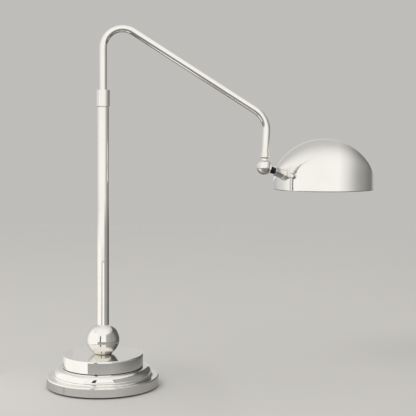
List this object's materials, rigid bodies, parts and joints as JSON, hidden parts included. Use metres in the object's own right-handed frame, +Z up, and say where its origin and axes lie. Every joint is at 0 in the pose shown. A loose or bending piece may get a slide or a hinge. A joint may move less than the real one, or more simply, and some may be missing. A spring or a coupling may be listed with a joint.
{
  "type": "desk lamp",
  "caption": "Desk lamp with stepped round base, ball under a straight stem, bent arm that turns and slides, ball knuckle and polished dome shade.",
  "frame": {"origin": "centre of the round base, on the surface that the lamp stands on", "axes": "+Z up along the stem, +X along the arm as shown, -Y towards the front"},
  "size_m": [0.6164, 0.2789, 0.6651],
  "materials": {
    "polished_nickel": "mirror-polished nickel plate on steel",
    "nickelled_brass": "mirror-polished nickel plate on turned brass",
    "raw_brass": "turned, unplated",
    "plain_steel": "pressed, oiled",
    "zinc_steel": "bright zinc",
    "dark_steel": "blackened",
    "grey_iron": "as cast",
    "felt": "pressed wool felt",
    "black_fibre": "vulcanised fibre",
    "black_plastic": "moulded",
    "white_plastic": "low-friction washer",
    "porcelain": "glazed",
    "bulb_metal": "rolled",
    "frosted_glass": "frosted",
    "bulb_core": "lamp core"
  },
  "bodies": {
    "base": {"felt_pad": "felt", "bottom_plate": "plain_steel", "bottom_screws": "zinc_steel", "ballast": "grey_iron", "base_shell": "polished_nickel", "shadow_washer": "black_fibre", "drum_shell": "polished_nickel", "drum_spacer": "plain_steel", "base_ball": "nickelled_brass", "stem_tube": "polished_nickel", "foot_plug": "raw_brass", "tie_rod": "zinc_steel", "tie_rod_nut": "zinc_steel", "tie_rod_washer": "zinc_steel", "cord_bush": "black_plastic", "stem_bearing": "raw_brass", "thrust_washer": "white_plastic"},
    "collar": {"turn_collar": "nickelled_brass", "collar_liner": "black_plastic", "stop_screw": "zinc_steel"},
    "arm": {"arm_tube": "polished_nickel", "stop_ring": "raw_brass", "stop_ring_screws": "zinc_steel", "end_collar": "nickelled_brass", "end_plug": "raw_brass"},
    "knuckle": {"knuckle_washer": "black_fibre", "knuckle_ball": "nickelled_brass", "knuckle_spigot": "zinc_steel", "knuckle_lock_nut": "raw_brass", "pivot_screw": "nickelled_brass", "pivot_nut": "nickelled_brass"},
    "head": {"tilt_blade": "dark_steel", "friction_washers": "black_fibre", "socket_sleeve": "nickelled_brass", "ring_nut": "nickelled_brass", "saddle_washer": "nickelled_brass", "shade_dome": "polished_nickel", "shade_nipple": "raw_brass", "shade_lock_nut": "raw_brass", "holder_cap": "nickelled_brass", "holder_insulator": "porcelain", "screw_shell": "raw_brass", "centre_contact": "raw_brass", "bulb_cap": "bulb_metal", "bulb_glass": "frosted_glass", "bulb_stem": "bulb_core"}
  },
  "joints": [
    {"name": "arm_swivel", "type": "hinge", "parent": "base", "child": "collar", "pos_m": [0, 0, 0.515], "axis": [0, 0, 1], "range_deg": [-160, 160]},
    {"name": "arm_height", "type": "slide", "parent": "collar", "child": "arm", "axis": [0, 0, 1], "range_m": [-0.06, 0.12]},
    {"name": "head_swivel", "type": "hinge", "parent": "arm", "child": "knuckle", "pos_m": [0.2969, 0, 0.40417], "axis": [0.0558, 0, 0.9984], "range_deg": [-198.5, 131.5]},
    {"name": "shade_tilt", "type": "hinge", "parent": "knuckle", "child": "head", "pos_m": [0.2969, 0, 0.40417], "axis": [0.5519, -0.8339, 0], "range_deg": [-60, 35]}
  ]
}
